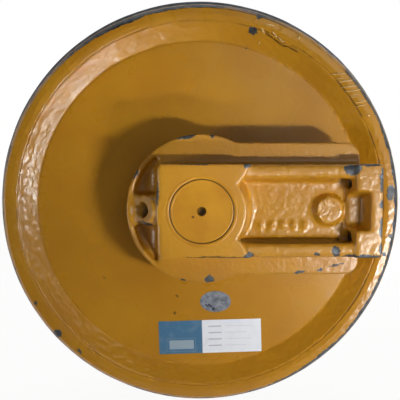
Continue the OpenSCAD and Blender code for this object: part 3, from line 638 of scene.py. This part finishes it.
bpy.ops.object.select_all(action="DESELECT")
bpy.ops.mesh.primitive_grid_add(x_subdivisions=64, y_subdivisions=20, size=1)
label = bpy.context.object
label.name = label.data.name = "paper_label"
label.scale = (LABEL[2] * MM, LABEL[3] * MM, 1)
label.rotation_euler = (math.radians(90), math.radians(-LABEL[4]), 0)
label.location = (LABEL[0] * MM, -SHEET_START * MM, LABEL[1] * MM)
bpy.ops.object.transform_apply(location=True, rotation=True, scale=True)
on_web(label)
dress(label, "wheel", "yellow_enamel", printed_label())

bpy.ops.object.select_all(action="DESELECT")
bpy.ops.mesh.primitive_circle_add(vertices=96, radius=0.5, fill_type="NGON")
oval = bpy.context.object
oval.name = oval.data.name = "oval_foil_label"
bpy.ops.object.mode_set(mode="EDIT")
for _ in range(8):
    bpy.ops.mesh.inset(thickness=0.055)
bpy.ops.object.mode_set(mode="OBJECT")
oval.scale = (OVAL[2] * MM, OVAL[3] * MM, 1)
oval.rotation_euler = (math.radians(90), 0, 0)
oval.location = (OVAL[0] * MM, -SHEET_START * MM, OVAL[1] * MM)
bpy.ops.object.transform_apply(location=True, rotation=True, scale=True)
on_web(oval)
dress(oval, "wheel", "yellow_enamel", foil_label())

# Brackets: the CAD solid with the rounded edges and wavy skin of a sand casting
for side, sign in (("near", -1), ("far", 1)):
    casting = bpy.data.objects.new("solid", nodes["bracket_" + side].data.copy())
    bpy.context.scene.collection.objects.link(casting)
    pick(casting)
    bpy.ops.object.mode_set(mode="EDIT")
    bpy.ops.mesh.select_all(action="SELECT")
    bpy.ops.mesh.remove_doubles(threshold=0.005 * MM)
    bpy.ops.object.mode_set(mode="OBJECT")
    # Five plain round pips on the pocket floor
    added = [lump("pip", (70 + 13 * k, sign * 132, -18), (3.6, 3.6, 5.5), 0) for k in range(5)]
    # The left lip of the pin hole
    added.append(lump("lip", (-80.5, sign * 127.5, 0), (2.6, 3.2, 9.5), 0))
    casting = joined("bracket_casting_" + side, [casting] + added)
    apply_modifier(casting, "REMESH", mode="VOXEL", voxel_size=1.5 * MM, use_smooth_shade=True)
    points = len(casting.data.vertices)
    sharp, soft, way = (numpy.empty(3 * points) for _ in range(3))
    casting.data.vertices.foreach_get("co", sharp)
    apply_modifier(casting, "SMOOTH", factor=0.5, iterations=8)
    casting.data.vertices.foreach_get("co", soft)
    casting.data.vertices.foreach_get("normal", way)
    bend = ((sharp - soft) * way).reshape(-1, 3).sum(1) / MM
    casting.data.attributes.new("edge_bend", "FLOAT", "POINT").data.foreach_set("value", bend.astype(numpy.float32))
    # Cores leave rounder edges in the pocket, the notch and the hollows than the mould does outside
    mark(casting, "cored", lambda x, y, z: 115 < abs(y) < 159 and 55 < x < 203 and abs(z) < 45
         and math.hypot(x - GATE_X, z) > 20)
    apply_modifier(casting, "SMOOTH", factor=0.5, iterations=14, vertex_group="cored")
    mark(casting, "hollows", lambda x, y, z: abs(y) > 113 and x < -47 and abs(z) > 13 and math.hypot(x, z) < 88)
    apply_modifier(casting, "SMOOTH", factor=0.5, iterations=45, vertex_group="hollows")
    waves(casting, "casting_skin_" + side, 11, 0.4)
    # The pocket and the ground around the pin hole are rougher than the rest
    mark(casting, "rough", lambda x, y, z: (60 < x < 205 and abs(z) < 52 and abs(y) > 130)
         or (x < -50 and abs(y) > 115))
    waves(casting, "rough_skin_" + side, 5.5, 0.75, "rough")
    dress(casting, "carrier", "yellow_enamel", bracket_enamel, "bracket_" + side)

    # Where the gate of the mould was broken off: a lumpy top with a crisp edge
    gate = turned("gate_break_" + side, [(r, sign * w) for r, w in close_set(
        [(0.5, 136), (15.8, 136), (15.4, 139.2), (14.6, 139.9), (0.5, 139.9)], 0.9)], 96)
    mark(gate, "top", lambda x, y, z: abs(y) > 139)
    waves(gate, "gate_lumps_" + side, 7, 5, "top")
    pick(gate)
    bpy.ops.object.shade_smooth_by_angle(angle=math.radians(40))
    # It leans towards the end of the arm and down
    middle = Vector((0, sign * 138 * MM, 0))
    gate.rotation_euler = (math.radians(-3 * sign), 0, math.radians(-6 * sign))
    gate.location = middle + Vector((GATE_X * MM, 0, 0)) - gate.rotation_euler.to_matrix() @ middle
    bpy.ops.object.transform_apply(location=True, rotation=True)
    dress(gate, "carrier", "yellow_enamel", bracket_enamel)

    # Paint that bridges the joint between the axle's end and the bracket, with a fine crack round it
    film = turned("axle_joint_paint_" + side, [(r, sign * w) for r, w in (
        (33, 159.3), (34, 159.62), (35.6, 159.7), (36.3, 159.5), (36.6, 158.9), (36.9, 158.9), (37.2, 159.6),
        (37.9, 160.1), (40.5, 160.15), (42.5, 159.5), (42.5, 158), (33, 158))], 160)
    pick(film)
    bpy.ops.object.shade_smooth()
    dress(film, "carrier", "yellow_enamel", axle_finish)

    # Threads of the two yoke bolts: rings 2 mm apart, with their crests inside the plain CAD holes
    teeth = []
    for k in range(17):
        teeth += [(8.1, 174 + 2 * k), (7.0, 175 + 2 * k)]
    teeth += [(8.1, 207.4), (8.6, 207.4), (8.6, 174)]
    for end, z in (("upper", BOLT_Z), ("lower", -BOLT_Z)):
        thread = turned("yoke_thread_%s_%s" % (end, side), teeth, 48, (1, 0, 0))
        pick(thread)
        bpy.ops.transform.translate(value=(0, sign * BOLT_DEPTH * MM, z * MM))
        bpy.ops.object.transform_apply(location=True)
        dress(thread, "carrier", "pin_steel", thread_steel)

# Every CAD node that still shows gets the finish whose key its name holds
for name, node in nodes.items():
    if not node.hide_render:
        node.data.materials.clear()
        node.data.materials.append(next(m for key, m in FINISHES.items() if key in name))

# Floor and light
bpy.ops.object.select_all(action="DESELECT")
bpy.ops.mesh.primitive_plane_add(size=8, location=(0, 0, -(FLANGE_R + 0.5) * MM))
floor = bpy.context.object
floor.name = "studio_floor"
material, tree, output, place = fresh("pale_floor")
path = add(tree, "LightPath", {}, {})
depth = add(tree, "SeparateXYZ", {}, {"Vector": place}).outputs["Y"]
# The floor is a little greyer in front of the object, so that the web doesn't mirror it
ground = add(tree, "MapRange", {}, {"Value": depth, "From Min": -0.4, "From Max": -0.25})
ground = add(tree, "Mix", {"data_type": "RGBA"}, {0: ground.outputs[0], 6: colour("#8F8F8B"), 7: colour("#E4E4E0")})
pale = add(tree, "BsdfDiffuse", {}, {"Color": ground.outputs[2]})
white = add(tree, "Emission", {}, {"Color": (1, 1, 1, 1), "Strength": 1})
seen = add(tree, "Math", {"operation": "MAXIMUM"},
           {0: path.outputs["Is Camera Ray"], 1: path.outputs["Is Transmission Ray"]})
# Mirrors show the white part of the floor, which lies under and behind the object
back = add(tree, "MapRange", {}, {"Value": depth, "From Min": -0.25, "From Max": -0.05})
back = add(tree, "Math", {"operation": "MULTIPLY"}, {0: back.outputs[0], 1: path.outputs["Is Glossy Ray"]})
seen = add(tree, "Math", {"operation": "MAXIMUM"}, {0: seen.outputs[0], 1: back.outputs[0]})
seen = add(tree, "Math", {"operation": "MULTIPLY"}, {0: seen.outputs[0], 1: 0.95})
mixed = add(tree, "MixShader", {}, {0: seen.outputs[0], 1: pale.outputs[0], 2: white.outputs[0]})
tree.links.new(mixed.outputs[0], output.inputs["Surface"])
floor.data.materials.append(material)

# A white room behind the object and a dim one in front of it
world = bpy.data.worlds.new("white_studio")
bpy.context.scene.world = world
world.use_nodes = True
tree = world.node_tree
tree.nodes.clear()
path = add(tree, "LightPath", {}, {})
seen = add(tree, "Math", {"operation": "MAXIMUM"},
           {0: path.outputs["Is Camera Ray"], 1: path.outputs["Is Transmission Ray"]})
way = add(tree, "SeparateXYZ", {}, {"Vector": add(tree, "TexCoord", {}, {}).outputs["Generated"]})
most = add(tree, "MapRange", {}, {"Value": path.outputs["Is Glossy Ray"], "To Min": 0.4, "To Max": 1})
behind = add(tree, "MapRange", {},
             {"Value": way.outputs["Y"], "From Min": -0.2, "From Max": 0.3, "To Min": 0.05,
              "To Max": most.outputs[0]})
level = add(tree, "MapRange", {}, {"Value": seen.outputs[0], "To Min": behind.outputs[0], "To Max": 1})
sky = add(tree, "Background", {}, {"Color": (1, 1, 1, 1), "Strength": level.outputs[0]})
add(tree, "OutputWorld", {}, {"Surface": sky.outputs[0]})


def lamp(name, place, aim, width, height, watts, spread=180):
    """A softbox; a spread below 180 degrees is a grid on its front that keeps the light near the aim."""
    light = bpy.data.lights.new(name, "AREA")
    light.spread = math.radians(spread)
    light.shape = "RECTANGLE"
    light.size = width
    light.size_y = height
    light.energy = watts
    obj = bpy.data.objects.new(name, light)
    bpy.context.scene.collection.objects.link(obj)
    obj.location = place
    obj.rotation_euler = (Vector(aim) - Vector(place)).to_track_quat("-Z", "Y").to_euler()


# Place, aim, width, height, watts and spread of each lamp, in metres: the low lamps give the highlights on the
# right of the rim and the upper left of the wall, and the shadow above the block
lamp("key", (0.63, -0.92, -0.235), (0.18, -0.1, -0.02), 0.22, 0.05, 1.2, 75)
lamp("kicker", (0.2, -0.48, -0.235), (-0.12, -0.075, 0.19), 0.08, 0.03, 0.06, 40)
lamp("fill", (-1.15, -0.72, -0.2), (0, -0.1, 0), 0.3, 0.12, 2.5)
lamp("side", (1.2, -0.6, -0.05), (0, -0.1, 0), 0.6, 0.35, 1.6)
lamp("front", (0.6, -1.6, 0.5), (0, -0.1, 0), 0.9, 0.65, 2.4)
lamp("back", (0.7, 1.5, 0.6), (0, 0.1, 0), 1.0, 0.8, 15)
lamp("top", (0, 1.1, 1.5), (0, 0.1, 0), 1.2, 0.6, 7)

# Camera, fitted to the photograph's outlines
FOCAL_PIXELS = 658
PICTURE_PIXELS = 400
SENSOR_MM = 36
camera = bpy.data.objects.new("camera", bpy.data.cameras.new("camera"))
bpy.context.scene.collection.objects.link(camera)
camera.data.sensor_width = SENSOR_MM
camera.data.lens = FOCAL_PIXELS / PICTURE_PIXELS * SENSOR_MM
camera.location = (-0.01128, -0.90729, 0.06806)
camera.rotation_euler = (Vector((0.00006, 0, 0.00156)) - camera.location).to_track_quat("-Z", "Y").to_euler()
bpy.context.scene.camera = camera
bpy.context.scene.view_settings.view_transform = "Standard"
